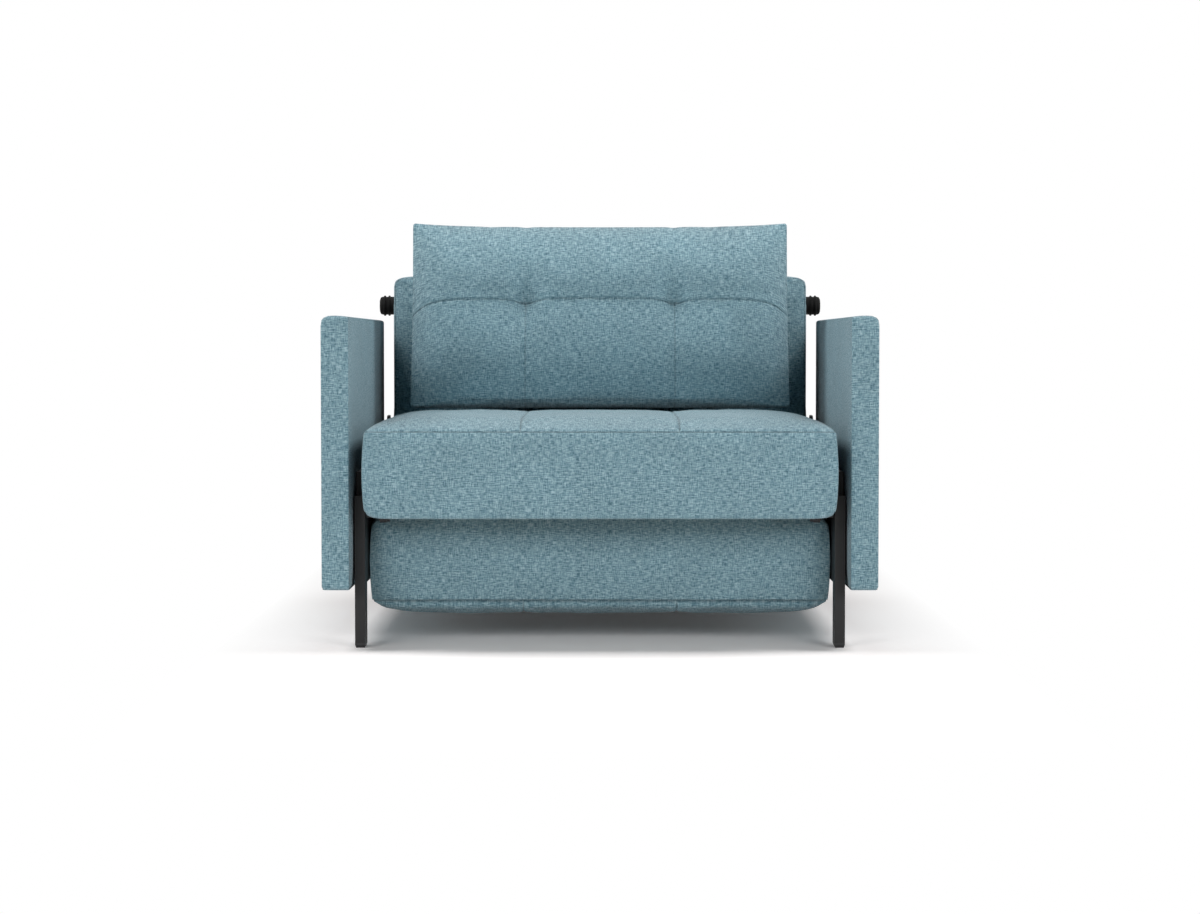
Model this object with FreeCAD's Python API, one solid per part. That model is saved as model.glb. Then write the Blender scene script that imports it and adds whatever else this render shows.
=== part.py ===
import FreeCAD, Part
import math
import os

# A single chair bed in three mattress sections on a black steel frame.
# +X is the sitter's left, +Y points to the back and +Z is up, in millimetres.
# The origin is on the floor, under the middle of the overall box.
# Side views are drawn as d, the distance behind the seat's front face, and z.

# Overall sizes
bed_width = 900.0
seat_height = 421.0
section_length = 750.0
back_top = 732.0

# Mattress sections
seat_thickness = 167.0
back_thinner_by = 17.0
frame_zone = 36.0
frame_to_foam = 2.0
section_gap = 4.0
foot_set_back = 172.0
seat_to_back = 15.0
lip_length = 62.0
seat_crown = 25.0
back_crown = 9.0
crown_ramp = 120.0
edge_round = 10.0
back_corner_round = 21.0
lip_lift = 10.5
lip_lift_reach = 15.0
seam_from_middle = 150.0
seam_depth = 6.0
cross_seam_from_hinge = 280.0
cover_wall = 4.0
foam_clearance = 0.6
back_end_round = 50.0
seat_end_round = 25.0

# Steel frames inside the sections
rail_width = 20.0
rail_from_edge = 5.0
tube_wall = 1.5
cross_height = 15.0
cross_width = 20.0
slat_width = 50.0
slat_thickness = 8.0
slat_bow = 5.0
slat_below_foam = 3.0
holder_length = 14.0
holder_wall = 2.0
fit = 0.05

# Base
side_gap = 2.0
member_width = 20.0
leg_depth = 45.0
front_leg_back = 100.0
front_leg_below_panel_top = 45.0
rear_leg_behind_pivot = 95.0
panel_height = 214.0
panel_below_seat_top = 83.0
panel_under_seat = 14.0
panel_step_before_hinge = 190.0
panel_step_run = 60.0
panel_wall = 3.0
glide_height = 9.0
glide_inset = 2.0
stretcher_height = 40.0
stretcher_depth = 20.0
low_stretcher = 60.0
stretcher_below_panel = 4.0

# Arms
arm_gap = 3.0
arm_width = 57.0
arm_height = 523.0
arm_bottom = 116.0
arm_past_pivot = 38.0
arm_front = 40.0
arm_round = 8.0
arm_wall = 6.0
arm_bolt_radius = 4.0
spacer_radius = 9.0

# Hinges
plate_thickness = 5.0
side_arm_thickness = 3.5
pin_radius = 5.0
pin_clearance = 0.06
seat_pin_below_top = 11.0
stop_radius = 6.0
fold_plate_thickness = 6.0
fold_ear_thickness = 6.0
fold_plate_from_rail = 9.0
fold_knuckle = 9.0

# Folding legs and the head tube
leg_tube_radius = 9.0
leg_tube_wall = 1.5
foot_leg_from_rail = 33.0
foot_leg_under_slats = 1.5
foot_eye_radius = 10.0
head_tube_radius = 12.5
head_tube_behind = 105.0
head_tube_above = 325.0
back_leg_from_edge = 40.0
clamp_from_leg = 60.0
grip_radius = 20.0
grip_ring_radius = 22.5
grip_start_past_edge = 5.0
grip_end_past_edge = 41.0

# Loose back cushion
cushion_width = 800.0
cushion_height = 391.0
cushion_above_crown = 4.0
cushion_thickness = 196.0
cushion_before_hinge = 100.0
cushion_seam = 156.0

half_width = bed_width / 2
back_thickness = seat_thickness - back_thinner_by
seat_bottom = seat_height - seat_thickness
fold_level = seat_bottom - section_gap / 2
fold_back = (foot_set_back - section_gap) / 2
seat_rear = section_length
back_front = seat_rear + seat_to_back
back_pivot_d = back_front + back_thickness / 2
back_pivot_z = seat_height - back_thickness / 2
back_bottom = back_pivot_z - back_thickness / 2
back_length = back_top - back_bottom
seat_pin_z = seat_height - seat_pin_below_top
member_inner = half_width + side_gap
member_outer = member_inner + member_width
rail_outer = half_width - rail_from_edge
rail_inner = rail_outer - rail_width
rear_leg_front = back_pivot_d + rear_leg_behind_pivot
front = -(rear_leg_front + leg_depth) / 2
panel_top = seat_height - panel_below_seat_top
panel_bottom = panel_top - panel_height
panel_low_top = seat_bottom - panel_under_seat
panel_step_at = seat_rear - panel_step_before_hinge
front_leg_height = panel_top - front_leg_below_panel_top
high_stretcher = panel_low_top - stretcher_below_panel - stretcher_height
arm_inner = member_outer + arm_gap
arm_depth = back_pivot_d + arm_past_pivot - arm_front
cross_seam = section_length - cross_seam_from_hinge
fold_plate_at = rail_inner - fold_plate_from_rail
foot_leg_at = rail_inner - foot_leg_from_rail
back_leg_at = half_width - back_leg_from_edge
grip_inner = half_width + grip_start_past_edge
grip_end = half_width + grip_end_past_edge
cushion_bottom = seat_height + seat_crown + cushion_above_crown
cushion_top = cushion_bottom + cushion_height
cushion_middle = seat_rear - cushion_before_hinge
x_axis = FreeCAD.Vector(1, 0, 0)


def at(d, z, x=0.0):
    """The point d behind the seat's front and z above the floor."""
    return FreeCAD.Vector(x, front + d, z)


def block(x, d, z):
    """A box between pairs of limits in x, in distance behind the front, and in height."""
    size = (x[1] - x[0], d[1] - d[0], z[1] - z[0])
    return Part.makeBox(*size, at(d[0], z[0], x[0]))


def hollow_block(x, d, z, wall, open_ends):
    """A rectangular tube: open_ends is the letter of the direction it runs along."""
    inset = {axis: 0.0 if axis == open_ends else wall for axis in "xdz"}
    inner = [
        (low + inset[axis], high - inset[axis])
        for axis, (low, high) in zip("xdz", (x, d, z))
    ]
    return block(x, d, z).cut(block(*inner))


def rod(x, d, z, radius):
    """A round bar along x."""
    return Part.makeCylinder(radius, x[1] - x[0], at(d, z, x[0]), x_axis)


def rounded_wire(corners, x):
    """A closed side-view outline through (d, z, radius) corners, at one x."""
    points = [at(d, z, x) for d, z, _ in corners]
    edges = []
    starts = []
    ends = []
    for i, (_, _, radius) in enumerate(corners):
        here = points[i]
        to_last = (points[i - 1] - here).normalize()
        to_next = (points[(i + 1) % len(points)] - here).normalize()
        half_turn = to_last.getAngle(to_next) / 2
        cut_back = radius / math.tan(half_turn)
        start = here + to_last * cut_back
        end = here + to_next * cut_back
        starts.append(start)
        ends.append(end)
        if radius:
            middle = (to_last + to_next).normalize()
            top = here + middle * (radius / math.sin(half_turn) - radius)
            edges.append(Part.Arc(start, top, end).toShape())
        else:
            edges.append(None)
    wire = []
    for i, edge in enumerate(edges):
        if edge:
            wire.append(edge)
        following = (i + 1) % len(edges)
        wire.append(Part.LineSegment(ends[i], starts[following]).toShape())
    return Part.Wire(wire)


def plate(corners, x, holes=()):
    """A flat plate in the side view, with round (d, z, radius) holes."""
    solid = Part.Face(rounded_wire(corners, x[0])).extrude(x_axis * (x[1] - x[0]))
    for d, z, radius in holes:
        solid = solid.cut(rod((x[0] - 1, x[1] + 1), d, z, radius))
    return solid


def other_side(shape):
    return shape.mirror(FreeCAD.Vector(0, 0, 0), x_axis)


def both_sides(shape):
    return Part.makeCompound([shape, other_side(shape)])


def folded_under(shape):
    """The foot section is drawn unfolded in front of the seat, then turned under it."""
    turned = shape.copy()
    turned.rotate(at(fold_back, fold_level), x_axis, 180)
    return turned


def raised(shape):
    """The back is drawn lying flat behind the seat, then turned up about its pivot."""
    turned = shape.copy()
    turned.rotate(at(back_pivot_d, back_pivot_z), x_axis, 90)
    return turned


def save(name, shape):
    solids = shape.Solids
    assert solids and all(s.isValid() for s in solids), name
    whole = solids[0] if len(solids) == 1 else Part.makeCompound(solids)
    whole.exportStep(os.path.join("parts", name + ".step"))


# Mattress sections

def section_wire(x, start, end, bottom, top, crown, rounds, lips, seam_at, end_round):
    """One side-view slice of a mattress section, in lines and shallow arcs.

    The end towards the next hinge has its upper edge rounded by end_round, so that it
    clears its neighbour as it turns. The rounds are how far the slice is drawn in at its
    start and its end, and how far its lip's lower edge is lifted.
    """
    first = start + rounds[0]
    last = end - rounds[1]
    low = bottom + rounds[2]
    crown_end = last - end_round
    shoulder = min(crown_ramp, (end - start) / 4)
    high = top + crown
    seam = seam_at if seam_at else (start + end) / 2
    dip = high - (seam_depth if crown > seam_depth else 0.0)
    under = bottom + frame_zone + frame_to_foam
    near = (first + shoulder, top + 0.86 * crown)
    far = (crown_end - shoulder, top + 0.86 * crown)
    arcs = [
        ((first, top), (first + shoulder / 3, top + 0.5 * crown), near),
        (near, ((near[0] + seam) / 2, high), (seam, dip)),
        ((seam, dip), ((seam + far[0]) / 2, high), far),
        (far, (crown_end - shoulder / 3, top + 0.5 * crown), (crown_end, top)),
    ]
    corners = [(crown_end, top)]
    if end_round:
        turn = end_round / math.sqrt(2)
        middle = (crown_end + turn, top - end_round + turn)
        arcs.append(((crown_end, top), middle, (last, top - end_round)))
        corners = [(last, top - end_round)]
    if lips[1]:
        corners += [(last, low), (end - lips[1], low), (end - lips[1], under)]
    else:
        corners.append((last, under))
    if lips[0]:
        corners += [(start + lips[0], under), (start + lips[0], low), (first, low)]
    else:
        corners.append((first, under))
    corners.append((first, top))
    edges = [Part.Arc(*[at(*point, x) for point in arc]).toShape() for arc in arcs]
    for a, b in zip(corners, corners[1:]):
        edges.append(Part.LineSegment(at(*a, x), at(*b, x)).toShape())
    return Part.Wire(edges)


def corner_inset(radius, from_side):
    """How far a rounded corner seen from above draws a slice in, near the side."""
    if from_side >= radius:
        return 0.0
    return radius - math.sqrt(radius**2 - (radius - from_side) ** 2)


def section(start, end, bottom, top, crown, lips, end_round, seam_at=None, inset=0.0, corner=edge_round):
    """A mattress section: crowned panels that meet at two lengthwise seams."""
    side = half_width - inset
    seam = seam_from_middle
    half = [
        (side, 0.0),
        (side - 4.0, 0.22),
        (side - 12.0, 0.38),
        (side - 26.0, 0.60),
        (side - crown_ramp / 2, 0.86),
        ((side + seam) / 2, 1.0),
        (seam, 0.78),
        (0.0, 1.0),
    ]
    if inset:
        half = [half[i] for i in (0, 3, 5, 6, 7)]
    stations = half + [(-x, share) for x, share in half[-2::-1]]
    wires = [
        section_wire(
            x,
            start + inset,
            end - inset,
            bottom + inset,
            top - inset,
            max(crown * share, 0.5),
            (
                corner_inset(corner, side - abs(x)),
                corner_inset(edge_round, side - abs(x)),
                lip_lift * math.exp((abs(x) - side) / lip_lift_reach),
            ),
            [lip - 2 * inset if lip else 0.0 for lip in lips],
            seam_at,
            end_round - inset if end_round else 0.0,
        )
        for x, share in stations
    ]
    return Part.makeLoft(wires, True, True)


def skin(outside, hollow):
    """A closed skin: the outer form with the inner form left empty."""
    inner = hollow.Shells[0].copy()
    inner.reverse()
    return Part.makeSolid(Part.makeCompound([outside.Shells[0], inner]))


def section_soft_parts(*place, **options):
    """The sewn cover as a closed skin, and the foam core inside it."""
    outside = section(*place, **options)
    hollow = section(*place, inset=cover_wall, **options)
    core = section(*place, inset=cover_wall + foam_clearance, **options)
    return skin(outside, hollow), core


# Frames inside the sections

def section_frame(start, end, bottom, cross_at, slat_at):
    """Two side rails, cross rails, bowed wooden slats and their plastic holders."""
    top = bottom + frame_zone
    if len(slat_at) > 4:
        cross_at = cross_at + ((slat_at[2] + slat_at[3]) / 2,)
    rail = hollow_block((rail_inner, rail_outer), (start, end), (bottom, top), tube_wall, "d")
    cross = [
        hollow_block(
            (-rail_inner, rail_inner),
            (d - cross_width / 2, d + cross_width / 2),
            (top - cross_height, top),
            tube_wall,
            "x",
        )
        for d in cross_at
    ]
    slats = []
    holders = []
    reach = rail_inner - holder_wall
    low = top - slat_below_foam - slat_thickness - slat_bow
    for d in slat_at:
        slats.append(slat(d, low, reach))
        holders.append(holder(d, low, reach))
        holders.append(other_side(holders[-1]))
    return rail, Part.makeCompound(cross), Part.makeCompound(slats), Part.makeCompound(holders)


def slat(d, low, reach):
    """A springy slat, bowed upwards between its ends."""
    near = d - slat_width / 2
    lower = (at(near, low, -reach), at(near, low + slat_bow, 0.0), at(near, low, reach))
    lift = FreeCAD.Vector(0, 0, slat_thickness)
    upper = [point + lift for point in lower]
    wire = Part.Wire(
        [
            Part.Arc(*lower).toShape(),
            Part.LineSegment(lower[2], upper[2]).toShape(),
            Part.Arc(*upper[::-1]).toShape(),
            Part.LineSegment(upper[0], lower[0]).toShape(),
        ]
    )
    return Part.Face(wire).extrude(FreeCAD.Vector(0, slat_width, 0))


def holder(d, low, reach):
    """A plastic socket on a rail's inner face that a slat's end sits in."""
    half = slat_width / 2 + holder_wall
    outside = block(
        (reach - holder_length, rail_inner),
        (d - half, d + half),
        (low - holder_wall, low + slat_thickness + holder_wall + 0.6),
    )
    pocket = block(
        (reach - holder_length - 1, reach + fit),
        (d - slat_width / 2 - fit, d + slat_width / 2 + fit),
        (low - fit, low + slat_thickness + 0.6),
    )
    return outside.cut(pocket)


def spaced(first, last, count):
    return [first + (last - first) * i / (count - 1) for i in range(count)]


# Base frame

def side_panel():
    """A folded steel side member, open to the arm, that steps down for the seat's hinge."""
    start = front_leg_back + leg_depth
    corners = [
        (start, panel_bottom, 0.0),
        (rear_leg_front, panel_bottom, 0.0),
        (rear_leg_front, panel_low_top, 0.0),
        (panel_step_at + panel_step_run, panel_low_top, 20.0),
        (panel_step_at, panel_top, 20.0),
        (start, panel_top, 0.0),
    ]
    outside = plate(corners, (member_inner, member_outer))
    slope = math.hypot(panel_step_run, panel_top - panel_low_top)
    shift = panel_wall * (slope - (panel_top - panel_low_top)) / panel_step_run
    lean = panel_wall * math.tan(math.atan2(panel_step_run, panel_top - panel_low_top) / 2)
    bend_in = (panel_top - panel_low_top) / slope
    inner = [
        (start + panel_wall, panel_bottom + panel_wall, 0.0),
        (rear_leg_front - panel_wall, panel_bottom + panel_wall, 0.0),
        (rear_leg_front - panel_wall, panel_low_top - panel_wall, 0.0),
        (panel_step_at + panel_step_run - shift - lean * bend_in, panel_low_top - panel_wall, 20.0),
        (panel_step_at - shift - lean * bend_in, panel_top - panel_wall, 20.0),
        (start + panel_wall, panel_top - panel_wall, 0.0),
    ]
    panel = outside.cut(plate(inner, (member_inner + panel_wall, member_outer + 1)))
    slot = block(
        (member_inner + panel_wall, member_inner + panel_wall + plate_thickness + 0.5),
        (plate_foot[0] - 30.0, plate_foot[1] + 30.0),
        (panel_low_top - panel_wall - 1, panel_low_top + 1),
    )
    panel = panel.cut(slot)
    for d, z in plate_bolt_places:
        panel = panel.cut(rod((member_inner - 1, member_inner + 4), d, z, bolt_radius + fit))
    for d, z in arm_bolt_places:
        panel = panel.cut(rod((member_inner - 1, member_outer), d, z, arm_bolt_radius + fit))
        panel = panel.cut(bolt_head(d, z, fit))
    return panel


def bolt_head(d, z, growth=0.0):
    """A countersunk head, flush with the side member's inner face."""
    return Part.makeCone(
        arm_bolt_radius + 2.4 + growth,
        arm_bolt_radius + growth,
        2.4,
        at(d, z, member_inner),
        x_axis,
    )


def leg(d, height):
    """A rectangular tube leg, closed on top, with an open lower end for its foot plug."""
    x = (member_inner, member_outer)
    depth = (d, d + leg_depth)
    outside = block(x, depth, (glide_height, height))
    inside = block(
        (x[0] + tube_wall, x[1] - tube_wall),
        (depth[0] + tube_wall, depth[1] - tube_wall),
        (glide_height - 1, height - tube_wall),
    )
    return outside.cut(inside)


def foot_plug(d):
    """A tapered plastic foot with a spigot that fills the tube's end."""
    wide = block((member_inner, member_outer), (d, d + leg_depth), (glide_height - 3, glide_height))
    low_wire = outline_rectangle(d, glide_inset, 0.0)
    high_wire = outline_rectangle(d, 0.0, glide_height - 3)
    taper = Part.makeLoft([low_wire, high_wire], True, True)
    gap = tube_wall + fit
    spigot = block(
        (member_inner + gap, member_outer - gap),
        (d + gap, d + leg_depth - gap),
        (glide_height, glide_height + 18),
    )
    return wide.fuse([taper, spigot]).removeSplitter()


def outline_rectangle(d, inset, z):
    x = (member_inner + inset, member_outer - inset)
    depth = (d + inset, d + leg_depth - inset)
    return Part.makePolygon(
        [
            at(depth[0], z, x[0]),
            at(depth[0], z, x[1]),
            at(depth[1], z, x[1]),
            at(depth[1], z, x[0]),
            at(depth[0], z, x[0]),
        ]
    )


# Hinges of the seat and the back

bolt_radius = 3.0
stop_d = seat_rear - 60.0
stop_z = seat_bottom - stop_radius + 1.5
plate_foot = (seat_rear - 62.0, back_pivot_d + 22.0)
plate_low = panel_bottom + 18.0
plate_x = (member_inner + panel_wall, member_inner + panel_wall + plate_thickness)
side_arm_x = (plate_x[0] - 0.5 - side_arm_thickness, plate_x[0] - 0.5)
plate_bolt_places = [
    (plate_foot[0] + 20.0, plate_low + 20.0),
    (plate_foot[1] - 20.0, plate_low + 20.0),
    (plate_foot[0] + 20.0, panel_low_top - 22.0),
    (plate_foot[1] - 20.0, panel_low_top - 22.0),
]
arm_bolt_places = [
    (front_leg_back + leg_depth + 60.0, panel_top - 40.0),
    (panel_step_at - 80.0, panel_top - 40.0),
    (front_leg_back + leg_depth + 60.0, panel_bottom + 35.0),
    (panel_step_at + 60.0, panel_bottom + 35.0),
]


def pivot_plate():
    """The upright plate that holds the seat pin, the back pin and the seat's stop."""
    corners = [
        (plate_foot[0], plate_low, 6.0),
        (plate_foot[1], plate_low, 6.0),
        (plate_foot[1], back_pivot_z + 8.0, 20.0),
        (seat_rear + 22.0, seat_pin_z + 22.0, 20.0),
        (seat_rear - 20.0, seat_pin_z + 20.0, 18.0),
        (seat_rear - 24.0, seat_bottom + 60.0, 20.0),
        (plate_foot[0] - 14.0, stop_z + 16.0, 10.0),
        (plate_foot[0] - 14.0, stop_z - 16.0, 8.0),
        (plate_foot[0], stop_z - 30.0, 8.0),
    ]
    holes = [
        (seat_rear, seat_pin_z, pin_radius + fit),
        (back_pivot_d, back_pivot_z, pin_radius + fit),
        (stop_d, stop_z, pin_radius - 1 + fit),
    ]
    holes += [(d, z, bolt_radius + fit) for d, z in plate_bolt_places]
    return plate(corners, plate_x, holes)


def hinge_pin(d, z):
    """A shouldered pin: head outside the plate, shank through plate and moving arm."""
    shank = rod((side_arm_x[0] - 0.2, plate_x[1]), d, z, pin_radius)
    head = rod((plate_x[1], plate_x[1] + 4.0), d, z, pin_radius + 3.5)
    return shank.fuse(head).removeSplitter()


def stop_pin():
    buffer = rod((side_arm_x[0], plate_x[0]), stop_d, stop_z, stop_radius)
    shank = rod((plate_x[0], plate_x[1]), stop_d, stop_z, pin_radius - 1)
    head = rod((plate_x[1], plate_x[1] + 3.0), stop_d, stop_z, pin_radius + 2)
    return buffer.fuse([shank, head]).removeSplitter()


def plate_bolt(d, z):
    """A flat-headed bolt from inside the plate, with a nut on the outer face."""
    shank = rod((member_inner, plate_x[1] + 8.0), d, z, bolt_radius)
    nut = hexagon(d, z, plate_x[1], 5.0, 10.0)
    return shank.fuse(nut).removeSplitter()


def hexagon(d, z, x, length, across_flats):
    radius = across_flats / math.sqrt(3)
    points = [
        at(d + radius * math.cos(i * math.pi / 3), z + radius * math.sin(i * math.pi / 3), x)
        for i in range(7)
    ]
    return Part.Face(Part.makePolygon(points)).extrude(x_axis * length)


def seat_side_arm():
    """The strap that runs from the seat's rail up beside the mattress to the seat pin."""
    corners = [
        (seat_rear - 92.0, seat_bottom + 3.0, 8.0),
        (seat_rear - 22.0, seat_bottom + 3.0, 10.0),
        (seat_rear + 14.0, seat_pin_z - 22.0, 14.0),
        (seat_rear + 14.0, seat_pin_z + 15.0, 14.0),
        (seat_rear - 17.0, seat_pin_z + 15.0, 14.0),
        (seat_rear - 92.0, seat_bottom + frame_zone - 2.0, 10.0),
    ]
    strap = plate(corners, side_arm_x, [(seat_rear, seat_pin_z, pin_radius + pin_clearance)])
    foot = block(
        (rail_outer, side_arm_x[0]),
        (seat_rear - 84.0, seat_rear - 30.0),
        (seat_bottom + 5.0, seat_bottom + 30.0),
    )
    return strap.fuse(foot).removeSplitter()


def back_bracket():
    """The strap from the back's rail, beside its mattress, to the back pin."""
    flat_top = back_bottom + frame_zone
    corners = [
        (back_pivot_d - 15.0, back_pivot_z - 15.0, 14.0),
        (back_pivot_d - 15.0, back_pivot_z + 15.0, 14.0),
        (back_pivot_d + 30.0, back_pivot_z + 15.0, 18.0),
        (back_pivot_d + 130.0, flat_top - 4.0, 10.0),
        (back_pivot_d + 130.0, back_bottom + 4.0, 10.0),
        (back_pivot_d + 30.0, back_bottom + 4.0, 18.0),
        (back_pivot_d - 5.0, back_pivot_z - 20.0, 8.0),
    ]
    strap = plate(corners, side_arm_x, [(back_pivot_d, back_pivot_z, pin_radius + pin_clearance)])
    foot = block(
        (rail_outer, side_arm_x[0]),
        (back_pivot_d + 60.0, back_pivot_d + 120.0),
        (back_bottom + 7.0, back_bottom + 29.0),
    )
    return raised(strap.fuse(foot).removeSplitter())


# Fold hinge between the seat and the foot section

fold_plate_x = (fold_plate_at, fold_plate_at + fold_plate_thickness)
fold_ear_x = (fold_plate_at - 1.0 - fold_ear_thickness, fold_plate_at - 1.0)
foot_rear = -section_gap
foot_front = foot_rear - section_length
plate_reach = foot_rear - lip_length - 90.0


def fold_plate():
    """The long plate on the foot section's rail that reaches back to the fold pin."""
    low = fold_level - 16.0
    high = fold_level
    corners = [
        (fold_back + fold_knuckle, fold_level - fold_knuckle, fold_knuckle - 0.5),
        (fold_back + fold_knuckle, fold_level + fold_knuckle, fold_knuckle - 0.5),
        (fold_back - fold_knuckle, fold_level + fold_knuckle, 4.0),
        (fold_back - fold_knuckle - 4.0, high, 3.0),
        (foot_rear - lip_length - 4.0, high, 3.0),
        (foot_rear - lip_length - 10.0, high + 16.0, 3.0),
        (plate_reach, high + 16.0, 4.0),
        (plate_reach, low + 10.0, 4.0),
        (plate_reach + 40.0, low, 8.0),
        (fold_back - 20.0, low, 8.0),
    ]
    hole = (fold_back, fold_level, pin_radius + pin_clearance)
    blade = plate(corners, fold_plate_x, [hole])
    flange = block(
        (fold_plate_x[1], rail_inner),
        (plate_reach + 5.0, foot_rear - lip_length - 14.0),
        (seat_bottom + 2.0, seat_bottom + 14.0),
    )
    return folded_under(blade.fuse(flange).removeSplitter())


def fold_ear():
    """The lug under the seat's front cross rail that carries the fold pin."""
    top = seat_bottom + frame_zone - cross_height
    corners = [
        (fold_back - fold_knuckle, fold_level - fold_knuckle, fold_knuckle - 0.5),
        (fold_back + fold_knuckle, fold_level - fold_knuckle, fold_knuckle - 0.5),
        (fold_back + fold_knuckle + 4.0, top, 0.0),
        (fold_back - fold_knuckle, top, 0.0),
    ]
    return plate(corners, fold_ear_x, [(fold_back, fold_level, pin_radius + fit)])


def fold_pin():
    shank = rod((fold_ear_x[0] - 3.0, fold_plate_x[1] + 2.0), fold_back, fold_level, pin_radius)
    head = rod((fold_ear_x[0] - 6.0, fold_ear_x[0] - 0.2), fold_back, fold_level, pin_radius + 2.5)
    return shank.fuse(head).removeSplitter()


# Arms

def arm_body(inset):
    x = (arm_inner + inset, arm_inner + arm_width - inset)
    d = (arm_front + inset, arm_front + arm_depth - inset)
    z = (arm_bottom + inset, arm_bottom + arm_height - inset)
    body = block(x, d, z)
    return body.makeFillet(arm_round - inset, body.Edges)


def arm_parts():
    """The padded cover as a closed skin, and the board core that takes the bolts."""
    core_inset = arm_wall + foam_clearance
    cover = skin(arm_body(0.0), arm_body(arm_wall))
    core = arm_body(core_inset)
    for d, z in arm_bolt_places:
        hole = rod((arm_inner - 1, arm_inner + 38.0), d, z, arm_bolt_radius + fit)
        cover = cover.cut(rod((arm_inner - 1, arm_inner + arm_wall + 1), d, z, arm_bolt_radius + 1))
        core = core.cut(hole)
    return cover, core


def arm_bolt(d, z):
    shank = rod((member_inner + 2.4, arm_inner + 36.0), d, z, arm_bolt_radius)
    return bolt_head(d, z).fuse(shank).removeSplitter()


def arm_spacer(d, z):
    x = (member_inner + panel_wall, arm_inner)
    return rod(x, d, z, spacer_radius).cut(rod(x, d, z, arm_bolt_radius + fit))


# Folding legs

def tube(start, end, radius=leg_tube_radius, wall=leg_tube_wall):
    run = end - start
    outside = Part.makeCylinder(radius, run.Length, start, run)
    return outside.cut(Part.makeCylinder(radius - wall, run.Length, start, run))


def drop_leg(x, d, pivot_z, length, eye_radius, hole_radius):
    """An upright tube leg under a drilled eye, with its glide below."""
    glide = leg_tube_radius
    low = pivot_z - length + glide
    shaft = tube(at(d, low, x), at(d, pivot_z - eye_radius + 3.0, x))
    half = leg_tube_radius + 0.6
    eye = rod((x - half, x + half), d, pivot_z, eye_radius)
    hole = rod((x - 20.0, x + 20.0), d, pivot_z, hole_radius)
    return shaft.fuse(eye).cut(hole).removeSplitter()


def drop_glide(x, d, floor_z):
    """A plastic cap under a leg tube, with a spigot in its bore."""
    cap = Part.makeCylinder(leg_tube_radius, leg_tube_radius, at(d, floor_z, x))
    rim = [edge for edge in cap.Edges if edge.BoundBox.ZMax < floor_z + 0.1]
    cap = cap.makeFillet(2.5, rim)
    spigot = Part.makeCylinder(
        leg_tube_radius - leg_tube_wall - fit, 12.0, at(d, floor_z + leg_tube_radius, x)
    )
    return cap.fuse(spigot).removeSplitter()


def cross_bar(half_span, d, z):
    """A bar between two leg tubes, notched round them."""
    bar = rod((-half_span, half_span), d, z, leg_tube_radius - 2.0)
    bar = bar.cut(rod((-half_span - 1, half_span + 1), d, z, leg_tube_radius - 2.0 - leg_tube_wall))
    for x in (-half_span, half_span):
        bar = bar.cut(Part.makeCylinder(leg_tube_radius + fit, 60.0, at(d, z - 30.0, x)))
    return bar


def stowed_foot_leg(shape):
    """The foot leg is drawn hanging down under the unfolded section, then swung up flat."""
    turned = shape.copy()
    turned.rotate(at(foot_leg_d, foot_leg_z), x_axis, 90)
    return folded_under(turned)


foot_leg_z = seat_bottom + frame_zone - cross_height - foot_leg_under_slats - leg_tube_radius
foot_leg_d = foot_front + 50.0
foot_leg_lug_x = (foot_leg_at + leg_tube_radius + 1.0, rail_inner)


def foot_leg_lug():
    """A block on the rail's inner face with the pin that the leg swings on."""
    top = seat_bottom + frame_zone
    body = block(
        foot_leg_lug_x, (foot_leg_d - 14.0, foot_leg_d + 14.0), (seat_bottom + 1.0, top)
    )
    inner = foot_leg_at - leg_tube_radius - 2.0
    pin = rod((inner, foot_leg_lug_x[0]), foot_leg_d, foot_leg_z, pin_radius)
    return folded_under(body.fuse(pin).removeSplitter())


# Head tube, grips and the back's leg

head_d = back_pivot_d + head_tube_behind
head_z = back_pivot_z + head_tube_above


def grip():
    """A ribbed rubber grip, turned about the tube, closed at its outer end."""
    ring_half = 1.6
    groove = grip_radius
    profile = [(grip_inner, head_tube_radius + fit), (grip_inner, groove)]
    for ring in (grip_end - 21.0, grip_end - 11.0):
        profile += [
            (ring - ring_half - 1.2, groove),
            (ring - ring_half, grip_ring_radius),
            (ring + ring_half, grip_ring_radius),
            (ring + ring_half + 1.2, groove),
        ]
    profile += [
        (grip_end - 6.0, groove),
        (grip_end - 2.0, groove - 1.5),
        (grip_end, groove - 6.0),
        (grip_end, 0.0),
        (grip_end - 5.0, 0.0),
        (grip_end - 5.0, head_tube_radius + fit),
    ]
    points = [at(head_d, head_z + r, x) for x, r in profile]
    face = Part.Face(Part.makePolygon(points + points[:1]))
    return face.revolve(at(head_d, head_z), x_axis, 360)


def tube_clamp(x):
    """A saddle from the back's cross rail that holds the head tube."""
    rear = back_pivot_d + back_thickness / 2
    half = 14.0
    corners = [
        (rear, head_z - 24.0, 0.0),
        (rear, head_z + 24.0, 0.0),
        (head_d + 2.0, head_z + head_tube_radius + 5.0, 4.0),
        (head_d + head_tube_radius + 5.0, head_z + head_tube_radius + 5.0, 8.0),
        (head_d + head_tube_radius + 5.0, head_z - head_tube_radius - 5.0, 8.0),
        (head_d + 2.0, head_z - head_tube_radius - 5.0, 4.0),
    ]
    return plate(corners, (x - half, x + half), [(head_d, head_z, head_tube_radius + fit)])


# Loose cushion

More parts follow.
